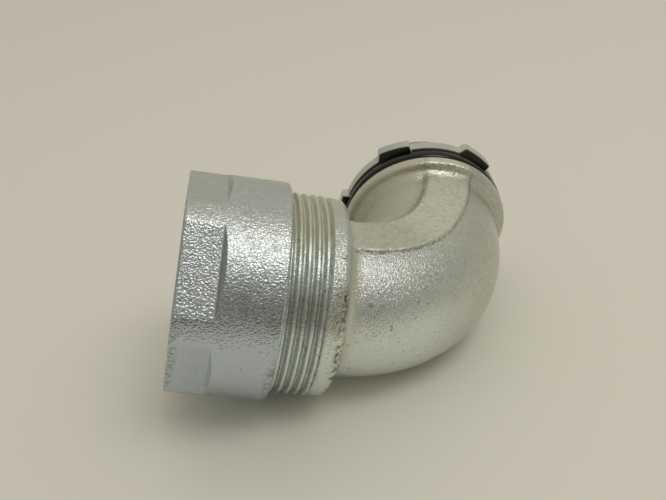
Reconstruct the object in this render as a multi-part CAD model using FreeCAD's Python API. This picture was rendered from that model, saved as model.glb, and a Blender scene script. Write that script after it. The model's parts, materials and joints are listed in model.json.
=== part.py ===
import FreeCAD, Part
import math
import os

# Liquidtight elbow connector for 1-1/2 inch flexible metal conduit, in millimetres and degrees.
# The pieces are built in the elbow's own frame: the conduit axis is X with its mouth towards -X, the hub axis
# is +Y, Z is square to the plane of the elbow, and the two axes cross at the origin.
# At the end the whole is laid down as it comes to rest on a table.

# Bend of the casting
BEND_RADIUS = 35.4
TUBE_RADIUS = 25.8
PASSAGE_RADIUS = 20.8

# Flat raised pad on top of the bend: its edges follow the bend, then spread towards the flange
PAD_INNER_RADIUS = 24.5
PAD_OUTER_RADIUS = 41.0
PAD_SPREAD_ANGLE = 60.0
PAD_INNER_AT_FLANGE = -7.8
PAD_OUTER_AT_FLANGE = 10.3
PAD_PROUD = 0.4
PAD_ROOT = 3.5
PAD_EDGE = 0.35

# Threaded barrel and collar on the conduit side, as places along X
THREAD_RADIUS = 33.0
THREAD_PITCH = 2.82
THREAD_DEPTH = 1.5
THREAD_FLAT = 0.35
BARREL_END = -69.0
COLLAR_START = -44.1
COLLAR_END = -38.2
COLLAR_ROUNDING = 2.4
COLLAR_FILLET = 2.6

# Socket inside the barrel, where the ferrule sits
SOCKET_RADIUS = 28.3
SOCKET_SHOULDER = -50.0
SOCKET_MOUTH_RADIUS = 29.9
SOCKET_TAPER = 2.5

# Flange and hub, as places along Y
FLANGE_RADIUS = 30.4
FLANGE_BACK = 43.9
FLANGE_FACE = 47.9
FLANGE_ROUNDING = 1.1
FLANGE_FILLET = 2.8
HUB_RADIUS = 24.13
HUB_TAPER_START = 58.5
HUB_TAPER = 1 / 32
HUB_END = 69.0
HUB_RELIEF_RADIUS = 23.0
HUB_RELIEF_WIDTH = 1.6
HUB_LEAD_IN = 1.5
HUB_MOUTH_BEVEL = 1.5
HUB_ROOT_RADIUS = HUB_RADIUS + HUB_TAPER * (HUB_TAPER_START - FLANGE_FACE - HUB_RELIEF_WIDTH)
HUB_CLEARANCE = 0.3

# Gland nut, as places along X
NUT_RADIUS = 36.0
NUT_MOUTH = -89.8
NUT_END = -57.3
NUT_ROUNDING = 1.0
NUT_FLAT_COUNT = 6
NUT_FLAT_DISTANCE = 33.0
NUT_FLAT_LENGTH = 11.7
NUT_FLAT_CORNER = 0.9
NUT_FLAT_WALL_LEAN = 35.0
NUT_FLAT_ANGLE = 48.5
NUT_THREAD_CLEARANCE = 0.3
NUT_THREAD_END = -73.3
NUT_CHAMBER_RADIUS = 29.3
NUT_LIP = -83.8
CONDUIT_RADIUS = 24.15
NUT_LIP_RADIUS = CONDUIT_RADIUS + 0.5

# Tapered plastic ring between the nut's lip and the barrel's mouth
RING_RADIUS = 29.0
RING_BORE = CONDUIT_RADIUS + 0.6
RING_BACK = -83.5
RING_TAPER_START = -73.0
RING_TIP = -66.5
RING_TIP_RADIUS = 26.2
RING_ROUNDING = 0.6

# Steel ferrule: a cup that holds the conduit's end, and a tube that goes up its bore
FERRULE_WALL = 1.4
FERRULE_RIM_RADIUS = 28.0
FERRULE_CUP_RADIUS = 26.8
FERRULE_CUP_DEPTH = 6.0
FERRULE_TUBE_RADIUS = 20.0
FERRULE_TUBE_LENGTH = 19.0
FERRULE_BEND = 1.0

# Rubber seal on the hub, as places along Y
SEAL_BORE = HUB_ROOT_RADIUS + HUB_CLEARANCE
SEAL_RADIUS = 30.4
SEAL_BACK = 48.0
SEAL_FACE = 52.8
SEAL_ROUNDING = 1.9

# Stamped locknut with bent lugs, as places along Y
LOCKNUT_BORE = HUB_ROOT_RADIUS + HUB_CLEARANCE
LOCKNUT_RADIUS = 30.0
LOCKNUT_BACK = 53.0
LOCKNUT_THICKNESS = 5.0
LOCKNUT_WEB_RADIUS = 27.0
LUG_COUNT = 6
LUG_RADIUS = 32.2
LUG_BEND_RADIUS = 29.0
LUG_START_ANGLE = -7.0
LUG_WIDTH_ANGLE = 20.5
LUG_RAMP_ANGLE = 5.0
LUG_SHEARED_SHIFT = -1.0
LUG_RAMP_SHIFT = 0.8
LUG_STEPS = 3

# Attitude at rest on a table: turned about the conduit axis, then about the level axis across it
REST_ROLL = 11.7
REST_PITCH = 15.36

X_AXIS = FreeCAD.Vector(1, 0, 0)
Y_AXIS = FreeCAD.Vector(0, 1, 0)
Z_AXIS = FreeCAD.Vector(0, 0, 1)
ORIGIN = FreeCAD.Vector(0, 0, 0)
BEND_CENTRE = FreeCAD.Vector(-BEND_RADIUS, BEND_RADIUS, 0)
FULL_TURN = 360.0


def rounded_face(corners):
    """Face inside a closed outline; a corner is its point and the radius that rounds it, or 0."""
    edges = []
    ends = []
    for index, (point, rounding) in enumerate(corners):
        before = (corners[index - 1][0] - point).normalize()
        after = (corners[(index + 1) % len(corners)][0] - point).normalize()
        if rounding == 0:
            ends.append((point, point))
            continue
        half_angle = before.getAngle(after) / 2
        reach = rounding / math.tan(half_angle)
        start = point + before * reach
        finish = point + after * reach
        bisector = (before + after).normalize()
        middle = point + bisector * (rounding / math.sin(half_angle) - rounding)
        edges.append(Part.Arc(start, middle, finish).toShape())
        ends.append((start, finish))
    for index, (start, finish) in enumerate(ends):
        next_start = ends[(index + 1) % len(ends)][0]
        if finish.distanceToPoint(next_start) > 1e-6:
            edges.append(Part.makeLine(finish, next_start))
    wire = Part.Wire(Part.__sortEdges__(edges))
    return Part.Face(wire)


def turned(profile, axis):
    """Solid of revolution about X or Y; the profile gives (place along the axis, radius, rounding)."""
    across = Z_AXIS
    corners = [(axis * place + across * radius, rounding) for place, radius, rounding in profile]
    return rounded_face(corners).revolve(ORIGIN, axis, FULL_TURN)


def bent_tube(radius):
    """Quarter of a torus that joins the conduit axis to the hub axis."""
    circle = Part.makeCircle(radius, FreeCAD.Vector(-BEND_RADIUS, 0, 0), X_AXIS)
    return Part.Face(Part.Wire(circle)).revolve(BEND_CENTRE, Z_AXIS, 90)


def barrel_and_collar():
    """Outside of the conduit side: ridged thread, collar with a rounded edge, and the stub to the bend."""
    root = THREAD_RADIUS - THREAD_DEPTH
    slope = (THREAD_PITCH - 2 * THREAD_FLAT) / 2
    profile = [(BARREL_END, 0, 0), (BARREL_END, root, 0)]
    crest = COLLAR_START - THREAD_PITCH / 2
    crests = []
    while crest - THREAD_FLAT / 2 - slope > BARREL_END:
        crests.append(crest)
        crest -= THREAD_PITCH
    for crest in reversed(crests):
        profile.append((crest - THREAD_FLAT / 2 - slope, root, 0))
        profile.append((crest - THREAD_FLAT / 2, THREAD_RADIUS, 0))
        profile.append((crest + THREAD_FLAT / 2, THREAD_RADIUS, 0))
        profile.append((crest + THREAD_FLAT / 2 + slope, root, 0))
    profile.append((COLLAR_START, root, 0))
    profile.append((COLLAR_START, THREAD_RADIUS, 0))
    profile.append((COLLAR_END, THREAD_RADIUS, COLLAR_ROUNDING))
    profile.append((COLLAR_END, TUBE_RADIUS, COLLAR_FILLET))
    profile.append((-BEND_RADIUS, TUBE_RADIUS, 0))
    profile.append((-BEND_RADIUS, 0, 0))
    return turned(profile, X_AXIS)


def flange_and_hub():
    """Outside of the hub side: stub from the bend, flange, thread relief and the hub with its lead-in."""
    relief_end = FLANGE_FACE + HUB_RELIEF_WIDTH
    profile = [
        (BEND_RADIUS, 0, 0),
        (BEND_RADIUS, TUBE_RADIUS, 0),
        (FLANGE_BACK, TUBE_RADIUS, FLANGE_FILLET),
        (FLANGE_BACK, FLANGE_RADIUS, FLANGE_ROUNDING),
        (FLANGE_FACE, FLANGE_RADIUS, FLANGE_ROUNDING / 2),
        (FLANGE_FACE, HUB_RELIEF_RADIUS, 0),
        (relief_end, HUB_RELIEF_RADIUS, 0),
        (relief_end, HUB_ROOT_RADIUS, 0),
        (HUB_TAPER_START, HUB_RADIUS, 0),
        (HUB_END - HUB_LEAD_IN, HUB_RADIUS, 0),
        (HUB_END, HUB_RADIUS - HUB_LEAD_IN, 0),
        (HUB_END, 0, 0),
    ]
    return turned(profile, Y_AXIS)


def bend_point(radius, angle):
    """Point about the centre of the bend; angle 0 is the conduit side and 90 the hub side."""
    turn = math.radians(angle)
    return BEND_CENTRE + FreeCAD.Vector(radius * math.sin(turn), -radius * math.cos(turn), 0)


def tangent_arc(start, direction, finish):
    """Arc from a point, leaving it along a direction, to another point."""
    chord = finish - start
    lean = direction.getAngle(chord)
    along = FreeCAD.Vector(chord).normalize()
    across = (direction - along * direction.dot(along)).normalize()
    middle = start + chord / 2 + across * (chord.Length / 2 * math.tan(lean / 2))
    return Part.Arc(start, middle, finish).toShape()


def pad_edge(radius, place_at_flange):
    """Edge of the pad: straight from the collar, round with the bend, then spreading towards the flange."""
    first = bend_point(radius, 0)
    halfway = bend_point(radius, PAD_SPREAD_ANGLE / 2)
    last = bend_point(radius, PAD_SPREAD_ANGLE)
    heading = bend_point(radius, PAD_SPREAD_ANGLE + 90) - BEND_CENTRE
    at_collar = FreeCAD.Vector(COLLAR_END, first.y, 0)
    at_flange = FreeCAD.Vector(place_at_flange, FLANGE_BACK, 0)
    return [
        Part.makeLine(at_collar, first),
        Part.Arc(first, halfway, last).toShape(),
        tangent_arc(last, heading.normalize(), at_flange),
    ]


def raised_pad():
    """Flat pad that runs over the bend from the collar to the flange."""
    inner = pad_edge(PAD_INNER_RADIUS, PAD_INNER_AT_FLANGE)
    outer = pad_edge(PAD_OUTER_RADIUS, PAD_OUTER_AT_FLANGE)
    at_collar = Part.makeLine(inner[0].firstVertex().Point, outer[0].firstVertex().Point)
    at_flange = Part.makeLine(inner[-1].lastVertex().Point, outer[-1].lastVertex().Point)
    outline = Part.Wire(Part.__sortEdges__(inner + outer + [at_collar, at_flange]))
    height = PAD_ROOT + PAD_PROUD
    pad = Part.Face(outline).extrude(Z_AXIS * height)
    rim = [edge for edge in pad.Edges if edge.BoundBox.ZMin > height - PAD_EDGE]
    pad = pad.makeChamfer(PAD_EDGE, rim)
    pad.translate(Z_AXIS * (TUBE_RADIUS - PAD_ROOT))
    return pad


def passage():
    """Hollow of the casting: socket with its tapered mouth, bore through the bend, and the hub's throat."""
    socket = turned([
        (BARREL_END - 1, 0, 0),
        (BARREL_END - 1, SOCKET_MOUTH_RADIUS, 0),
        (BARREL_END, SOCKET_MOUTH_RADIUS, 0),
        (BARREL_END + SOCKET_TAPER, SOCKET_RADIUS, 0),
        (SOCKET_SHOULDER, SOCKET_RADIUS, 0),
        (SOCKET_SHOULDER, PASSAGE_RADIUS, 0),
        (-BEND_RADIUS, PASSAGE_RADIUS, 0),
        (-BEND_RADIUS, 0, 0),
    ], X_AXIS)
    throat = turned([
        (BEND_RADIUS, 0, 0),
        (BEND_RADIUS, PASSAGE_RADIUS, 0),
        (HUB_END - HUB_MOUTH_BEVEL, PASSAGE_RADIUS, 0),
        (HUB_END, PASSAGE_RADIUS + HUB_MOUTH_BEVEL / 2, 0),
        (HUB_END + 1, PASSAGE_RADIUS + HUB_MOUTH_BEVEL / 2, 0),
        (HUB_END + 1, 0, 0),
    ], Y_AXIS)
    return socket.fuse([bent_tube(PASSAGE_RADIUS), throat])


def elbow_body():
    """One casting, machined at both ends."""
    casting = barrel_and_collar()
    for piece in (bent_tube(TUBE_RADIUS), flange_and_hub(), raised_pad()):
        casting = casting.fuse(piece)
    return casting.cut(passage()).removeSplitter()


def gland_nut():
    """Compression nut: thread bore, chamber for the plastic ring, lip, and wrench flats at the mouth."""
    bore = THREAD_RADIUS + NUT_THREAD_CLEARANCE
    nut = turned([
        (NUT_END, bore, 0),
        (NUT_END, NUT_RADIUS, NUT_ROUNDING),
        (NUT_MOUTH, NUT_RADIUS, NUT_ROUNDING),
        (NUT_MOUTH, NUT_LIP_RADIUS, NUT_ROUNDING),
        (NUT_LIP, NUT_LIP_RADIUS, 0),
        (NUT_LIP, NUT_CHAMBER_RADIUS, 0),
        (NUT_THREAD_END, NUT_CHAMBER_RADIUS, 0),
        (NUT_THREAD_END, bore, 0),
    ], X_AXIS)
    flat_end = NUT_MOUTH + NUT_FLAT_LENGTH
    margin = 5.0
    wall_top = NUT_RADIUS + margin
    wall_run = (wall_top - NUT_FLAT_DISTANCE) * math.tan(math.radians(NUT_FLAT_WALL_LEAN))
    section = rounded_face([
        (FreeCAD.Vector(NUT_MOUTH - margin, 0, NUT_FLAT_DISTANCE), 0),
        (FreeCAD.Vector(flat_end, 0, NUT_FLAT_DISTANCE), NUT_FLAT_CORNER),
        (FreeCAD.Vector(flat_end + wall_run, 0, wall_top), 0),
        (FreeCAD.Vector(NUT_MOUTH - margin, 0, wall_top), 0),
    ])
    cutter = section.extrude(Y_AXIS * (2 * NUT_RADIUS))
    cutter.translate(Y_AXIS * -NUT_RADIUS)
    cutters = []
    for index in range(NUT_FLAT_COUNT):
        turn = 90.0 - NUT_FLAT_ANGLE + index * FULL_TURN / NUT_FLAT_COUNT
        flat = cutter.copy()
        flat.rotate(ORIGIN, X_AXIS, turn)
        cutters.append(flat)
    return nut.cut(cutters).removeSplitter()


def sealing_ring():
    """Plastic ring whose taper goes into the barrel's mouth."""
    return turned([
        (RING_BACK, RING_BORE, RING_ROUNDING),
        (RING_BACK, RING_RADIUS, RING_ROUNDING),
        (RING_TAPER_START, RING_RADIUS, 0),
        (RING_TIP, RING_TIP_RADIUS, RING_ROUNDING),
        (RING_TIP, RING_BORE, 0),
    ], X_AXIS)


def ferrule():
    """Pressed steel cup and tube, resting on the shoulder of the socket."""
    back = SOCKET_SHOULDER - FERRULE_WALL
    bore = FERRULE_TUBE_RADIUS - FERRULE_WALL
    cup_inside = FERRULE_CUP_RADIUS - FERRULE_WALL
    tube_end = SOCKET_SHOULDER - FERRULE_TUBE_LENGTH
    cup_end = SOCKET_SHOULDER - FERRULE_CUP_DEPTH
    return turned([
        (SOCKET_SHOULDER, bore, FERRULE_BEND),
        (SOCKET_SHOULDER, FERRULE_CUP_RADIUS, FERRULE_BEND),
        (cup_end - FERRULE_WALL, FERRULE_CUP_RADIUS, 0),
        (cup_end - FERRULE_WALL, FERRULE_RIM_RADIUS, 0),
        (cup_end - 2 * FERRULE_WALL, FERRULE_RIM_RADIUS, 0),
        (cup_end - 2 * FERRULE_WALL, cup_inside, 0),
        (back, cup_inside, 0),
        (back, FERRULE_TUBE_RADIUS, 0),
        (tube_end, FERRULE_TUBE_RADIUS, FERRULE_WALL / 3),
        (tube_end, bore, FERRULE_WALL / 3),
    ], X_AXIS)


def hub_seal():
    """Rubber ring with a rounded outside, between the flange and the locknut."""
    return turned([
        (SEAL_BACK, SEAL_BORE, 0),
        (SEAL_BACK, SEAL_RADIUS, SEAL_ROUNDING),
        (SEAL_FACE, SEAL_RADIUS, SEAL_ROUNDING),
        (SEAL_FACE, SEAL_BORE, 0),
    ], Y_AXIS)


def lug_section(angle, radius, shift):
    """Section through the locknut's outer part at an angle, its outer end shifted along the hub axis."""
    front = LOCKNUT_BACK + LOCKNUT_THICKNESS
    inner = LOCKNUT_WEB_RADIUS - 1.0
    outline = [
        FreeCAD.Vector(inner, LOCKNUT_BACK, 0),
        FreeCAD.Vector(LUG_BEND_RADIUS, LOCKNUT_BACK, 0),
        FreeCAD.Vector(radius, LOCKNUT_BACK + shift, 0),
        FreeCAD.Vector(radius, front + shift, 0),
        FreeCAD.Vector(LUG_BEND_RADIUS, front, 0),
        FreeCAD.Vector(inner, front, 0),
    ]
    wire = Part.makePolygon(outline + outline[:1])
    wire.rotate(ORIGIN, Y_AXIS, -angle)
    return wire


def twisted_lug(start):
    """Lug with its ramp: bent towards the flange at its sheared end and away from it at the ramp."""
    sections = []
    for step in range(LUG_STEPS + 1):
        share = step / LUG_STEPS
        shift = LUG_SHEARED_SHIFT + share * (LUG_RAMP_SHIFT - LUG_SHEARED_SHIFT)
        sections.append(lug_section(start + share * LUG_WIDTH_ANGLE, LUG_RADIUS, shift))
    sections.append(lug_section(start + LUG_WIDTH_ANGLE + LUG_RAMP_ANGLE, LOCKNUT_RADIUS, 0))
    return Part.makeLoft(sections, True, True)


def locknut():
    """Stamped ring; each lug is sheared from it at one end and joined to it by a ramp at the other."""
    front = LOCKNUT_BACK + LOCKNUT_THICKNESS
    web = turned([
        (LOCKNUT_BACK, LOCKNUT_BORE, 0),
        (LOCKNUT_BACK, LOCKNUT_WEB_RADIUS, 0),
        (front, LOCKNUT_WEB_RADIUS, 0),
        (front, LOCKNUT_BORE, 0),
    ], Y_AXIS)
    pitch = FULL_TURN / LUG_COUNT
    rim_width = pitch - LUG_WIDTH_ANGLE - LUG_RAMP_ANGLE
    pieces = []
    for index in range(LUG_COUNT):
        lug_start = LUG_START_ANGLE + index * pitch
        rim_start = lug_start + LUG_WIDTH_ANGLE + LUG_RAMP_ANGLE
        rim = lug_section(rim_start, LOCKNUT_RADIUS, 0)
        pieces.append(twisted_lug(lug_start))
        pieces.append(Part.Face(rim).revolve(ORIGIN, Y_AXIS, -rim_width))
    return web.fuse(pieces).removeSplitter()


def laid_down(pieces):
    """Turns the pieces as they lie at rest, with the lowest point on z = 0 and the box about the origin."""
    box = FreeCAD.BoundBox()
    for piece in pieces.values():
        piece.rotate(ORIGIN, X_AXIS, REST_ROLL)
        piece.rotate(ORIGIN, Y_AXIS, REST_PITCH)
        box.add(piece.optimalBoundingBox(False))
    for piece in pieces.values():
        piece.translate(FreeCAD.Vector(-box.Center.x, -box.Center.y, -box.ZMin))
    return pieces


PIECES = {
    "elbow_body": elbow_body(),
    "gland_nut": gland_nut(),
    "sealing_ring": sealing_ring(),
    "ferrule": ferrule(),
    "hub_seal": hub_seal(),
    "locknut": locknut(),
}

os.makedirs("parts", exist_ok=True)
for name, piece in laid_down(PIECES).items():
    piece.exportStep(os.path.join("parts", name + ".step"))
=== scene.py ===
import json
import math

import bpy
import numpy as np
from mathutils import Matrix, Vector


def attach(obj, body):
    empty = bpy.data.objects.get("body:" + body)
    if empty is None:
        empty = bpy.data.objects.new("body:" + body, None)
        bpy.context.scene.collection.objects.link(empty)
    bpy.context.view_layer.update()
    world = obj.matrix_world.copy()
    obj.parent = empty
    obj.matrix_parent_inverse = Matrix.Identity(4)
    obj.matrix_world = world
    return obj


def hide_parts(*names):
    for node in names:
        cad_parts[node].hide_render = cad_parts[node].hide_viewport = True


# Looks of the liquidtight elbow connector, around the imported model.
# Shapes are worked out in the elbow's own frame, in millimetres: the conduit axis is X with its mouth
# towards -X, the hub axis is +Y, Z is square to the elbow's plane, and the two axes cross at the origin.
# A value with two numbers is a span in which a shape or a mark grows to its full size or fades from it.

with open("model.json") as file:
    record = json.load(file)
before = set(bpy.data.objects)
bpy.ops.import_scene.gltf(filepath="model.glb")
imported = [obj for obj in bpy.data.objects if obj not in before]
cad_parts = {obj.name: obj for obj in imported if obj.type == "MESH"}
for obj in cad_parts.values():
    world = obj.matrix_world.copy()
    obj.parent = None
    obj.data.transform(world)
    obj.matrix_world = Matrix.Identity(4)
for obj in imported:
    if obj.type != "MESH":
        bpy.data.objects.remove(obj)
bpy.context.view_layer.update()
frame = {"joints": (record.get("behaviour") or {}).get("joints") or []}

MM = 0.001
INCH = 25.4
TURN = 2 * math.pi
TINY = 1e-6

# Bend of the casting; on the middle line, a place along the hub is its place along Y plus the hub's shift
BEND_RADIUS = 35.4
BEND_CENTRE = np.array([-BEND_RADIUS, BEND_RADIUS, 0.0])
BEND_LENGTH = BEND_RADIUS * math.pi / 2
HUB_SHIFT = BEND_LENGTH - 2 * BEND_RADIUS
TUBE_RADIUS = 25.8
PASSAGE_RADIUS = 20.8

# Flat pad on the bend
PAD_INNER_RADIUS = 24.5
PAD_OUTER_RADIUS = 41.0
PAD_SPREAD_ANGLE = math.radians(60.0)
PAD_INNER_AT_FLANGE = -7.8
PAD_OUTER_AT_FLANGE = 10.3
PAD_TOP = TUBE_RADIUS + 0.4
PAD_OUTER_WALL = (-0.1, 1.2)
PAD_INNER_WALL = (-0.2, 2.4)
PAD_BLEND = 0.5

# Threaded barrel and collar, as places along X
THREAD_RADIUS = 33.0
THREAD_PITCH = 2.82
THREAD_DEPTH = 1.5
THREAD_ROOT = THREAD_RADIUS - THREAD_DEPTH
THREAD_RUN_OUT = 1.0
THREAD_CREST_FLAT = 0.72
THREAD_ROOT_FLAT = 0.45
BARREL_END = -69.0
BARREL_ROUNDING = 0.3
BARREL_LEAD_IN = (BARREL_END + 0.1, BARREL_END + 1.6)
COLLAR_START = -44.1
COLLAR_END = -38.2
COLLAR_STEP_ROUNDING = 0.4
COLLAR_ROUNDING = 2.4
COLLAR_TAPER = 0.55
COLLAR_FILLET = 4.0
COLLAR_DRAFT = 1.0
COLLAR_DRAFT_MIDDLE = 0.6
COLLAR_DRAFT_RISE = (COLLAR_START + 1.5, COLLAR_END - 1.0)
COLLAR_DRAFT_FALL = (COLLAR_END, COLLAR_END + 5.0)
THREAD_FACING_ANGLE = math.radians(12.0)
THREAD_CREST = COLLAR_START - THREAD_PITCH / 2 + THREAD_PITCH * THREAD_FACING_ANGLE / TURN

# Socket in the barrel, as places along X
SOCKET_RADIUS = 28.3
SOCKET_SHOULDER = -50.0
SOCKET_MOUTH_RADIUS = 29.9
SOCKET_TAPER = 2.5

# Nicks in the collar's edge, as place along X, degrees round it and size in millimetres,
# their depth, and their width in degrees for each millimetre of size
COLLAR_NICKS = [
    (-39.6, 18.0, 0.9),
    (-39.4, 5.5, 1.0),
    (-39.7, -8.0, 0.9),
    (-40.4, 30.0, 0.7),
    (-39.5, -22.0, 0.8),
    (-39.6, 43.0, 1.0),
]
NICK_DEPTH = 0.25
NICK_WIDTH = 2.0

# Flange and hub, as places along Y
FLANGE_RADIUS = 30.4
FLANGE_BACK = 43.9
FLANGE_FACE = 47.9
FLANGE_ROUNDING = 1.3
FLANGE_FILLET = 1.2
FLANGE_FLARE = 2.0
FLANGE_FLARE_LENGTH = 2.9
FLANGE_FLARE_ROUNDING = 4.0
HUB_RADIUS = 24.13
HUB_END = 69.0
HUB_RELIEF_WIDTH = 1.6
HUB_RELIEF_RADIUS = 23.0
HUB_RELIEF_END = FLANGE_FACE + HUB_RELIEF_WIDTH
HUB_TAPER = 1 / 32
HUB_TAPER_START = 58.5
HUB_ROOT_RADIUS = HUB_RADIUS + (HUB_TAPER_START - FLANGE_FACE - HUB_RELIEF_WIDTH) * HUB_TAPER
HUB_LEAD_IN = 1.5
HUB_MOUTH_DEPTH = 1.5
HUB_MOUTH_WIDENING = 0.75
HUB_PITCH = INCH / 11.5
HUB_THREAD_DEPTH = 1.3
HUB_FLAT = 0.3
HUB_CLEARANCE = 0.3

# Gland nut, as places along X
NUT_RADIUS = 36.0
NUT_MOUTH = -89.8
NUT_END = -57.3
NUT_ROUNDING = 1.0
NUT_EDGE_SOFTNESS = 0.12
NUT_FLAT_COUNT = 6
NUT_FLAT_DISTANCE = 33.0
NUT_FLAT_END = NUT_MOUTH + 12.3
NUT_FLAT_CORNER = 0.12
NUT_FLAT_WALL_LEAN = math.radians(28.0)
NUT_FLAT_ANGLE = math.radians(48.5)
NUT_THREAD_CLEARANCE = 0.3
NUT_THREAD_END = -73.3
NUT_THREAD_RISE = (NUT_THREAD_END, NUT_THREAD_END + 1.5)
NUT_THREAD_FALL = (NUT_END - 1.5, NUT_END - 0.3)
NUT_CHAMBER_RADIUS = 29.3
NUT_LIP = -83.8
NUT_LIP_RADIUS = 24.65

# Plastic ring, as places along X
RING_RADIUS = 29.0
RING_BORE = 24.75
RING_BACK = -83.5
RING_BACK_ROUNDING = 0.6
RING_TAPER_START = -73.0
RING_TAPER_ROUNDING = 0.8
RING_TIP = -66.5
RING_TIP_RADIUS = 26.2
RING_TIP_ROUNDING = 0.4

# Ferrule, as places along X; the fall of its thread is measured from the cup
FERRULE_WALL = 1.4
FERRULE_RIM_RADIUS = 28.0
FERRULE_RIM_FILLET = 0.3
FERRULE_RIM_ROUNDING = 0.4
FERRULE_CUP_RADIUS = 26.8
FERRULE_CUP_END = SOCKET_SHOULDER - 6.0
FERRULE_CUP_ROUNDING = 1.0
FERRULE_INNER_ROUNDING = 0.5
FERRULE_TUBE_RADIUS = 20.0
FERRULE_TUBE_END = SOCKET_SHOULDER - 19.0
FERRULE_PITCH = 3.4
FERRULE_FLAT = 1.0
FERRULE_GROOVE_DEPTH = 0.55
FERRULE_BORE_GROOVE_DEPTH = 0.3
FERRULE_THREAD_RISE = (FERRULE_TUBE_END + 0.8, FERRULE_TUBE_END + 2.0)
FERRULE_THREAD_FALL = (1.5, 3.0)

# Seal and locknut, as places along Y; the fade of the thread is measured from each face
SEAL_BORE = HUB_ROOT_RADIUS + HUB_CLEARANCE
SEAL_BORE_ROUNDING = 0.3
SEAL_RADIUS = 30.4
SEAL_BACK = 48.0
SEAL_FACE = 52.8
SEAL_ROUNDING = 1.9
LOCKNUT_BORE = HUB_ROOT_RADIUS + HUB_CLEARANCE
LOCKNUT_BORE_ROUNDING = 0.25
LOCKNUT_RADIUS = 30.0
LOCKNUT_BACK = 53.0
LOCKNUT_BACK_ROUNDING = 1.7
LOCKNUT_FRONT = 58.0
LOCKNUT_FRONT_ROUNDING = 0.3
LOCKNUT_WEB_RADIUS = 27.0
LOCKNUT_THREAD_FADE = (0.2, 1.0)
LUG_COUNT = 6
LUG_RADIUS = 32.2
LUG_BEND_RADIUS = 29.0
LUG_SHEARED_SHIFT = -1.0
LUG_RAMP_SHIFT = 0.8
LUG_START_ANGLE = -7.0
LUG_WIDTH_ANGLE = 20.5
LUG_SHEAR_SPAN = (-0.01, 0.5)
LUG_RAMP_SPAN = (LUG_WIDTH_ANGLE, LUG_WIDTH_ANGLE + 5.0)

# Lumps of the cast skins, as height, size and seed; the skins are pressed in to stay inside the solids
ELBOW_LUMPS = [(0.07, 7.0, 11), (0.006, 1.25, 12), (0.01, 0.8, 13)]
ELBOW_SKIN_DEPTH = 0.08
NUT_LUMPS = [(0.06, 8.0, 21), (0.01, 1.15, 22), (0.016, 0.7, 23)]
NUT_SKIN_DEPTH = 0.07

# Points in a mesh: columns round each piece, places between which its rows lie close together,
# and spacing on the rounded corners of an outline
ELBOW_COLUMNS = 246
PAD_WALL_COLUMNS = np.radians([-0.7, -0.1, 0.5, 1.1, 1.8])
PAD_INNER_SPREAD = 2
BARREL_CLOSE_ROWS_START = NUT_END - 0.6
NUT_COLUMNS = 540
NUT_CLOSE_ROWS_START = NUT_FLAT_END - 0.6
NUT_CLOSE_ROWS_END = NUT_FLAT_END + 2.1
RING_COLUMNS = 160
FERRULE_COLUMNS = 160
SEAL_COLUMNS = 240
LOCKNUT_COLUMNS = 720
ARC_SPACING = 0.35
FINE_ARC_SPACING = 0.2

# Round marks fade out over this span, as a share of their size
PATCH_FADE = (0.5, 1.0)

# Degrees between two faces above which their edge is sharp
SHARP_ANGLE = 40
NUT_SHARP_ANGLE = 18
FERRULE_SHARP_ANGLE = 45

# The elbow's own frame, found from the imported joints
joints = {joint["name"]: joint for joint in frame["joints"]}
barrel_way = np.array(joints["gland_travel"]["axis"], float)
hub_way = np.array(joints["locknut_turn"]["axis"], float)
ELBOW_AXES = np.stack([barrel_way, hub_way, np.cross(barrel_way, hub_way)])
ELBOW_ORIGIN = np.array(joints["locknut_turn"]["pos_m"], float) - hub_way * LOCKNUT_BACK * MM


def in_row(points):
    """Points of the elbow's frame, in millimetres, as points of the row frame, in metres."""
    return points @ ELBOW_AXES * MM + ELBOW_ORIGIN


def smooth_step(value, low, high):
    """Share from 0 below low to 1 above high, with soft ends."""
    share = np.clip((value - low) / (high - low), 0.0, 1.0)
    return share * share * (3 - 2 * share)


def lumps(points, size, seed):
    """Smooth random values from -1 to 1 over space, with lumps about as large as size."""
    cells = 64
    table = np.random.default_rng(seed).uniform(-1, 1, (cells, cells, cells))
    place = points / size
    low = np.floor(place).astype(int)
    share = place - low
    share = share * share * (3 - 2 * share)
    total = 0.0
    for corner in np.ndindex(2, 2, 2):
        i, j, k = ((low + np.array(corner)) % cells).T.reshape(3, *points.shape[:-1][::-1])
        weight = np.prod(np.where(np.array(corner) == 1, share, 1 - share), axis=-1)
        total = total + weight * table[i.T, j.T, k.T]
    return total


def cast_skin(points, layers, depth):
    """Height of a cast skin over each point: layers of lumps, pressed in by a depth."""
    return sum(height * lumps(points, size, seed) for height, size, seed in layers) - depth


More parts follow.
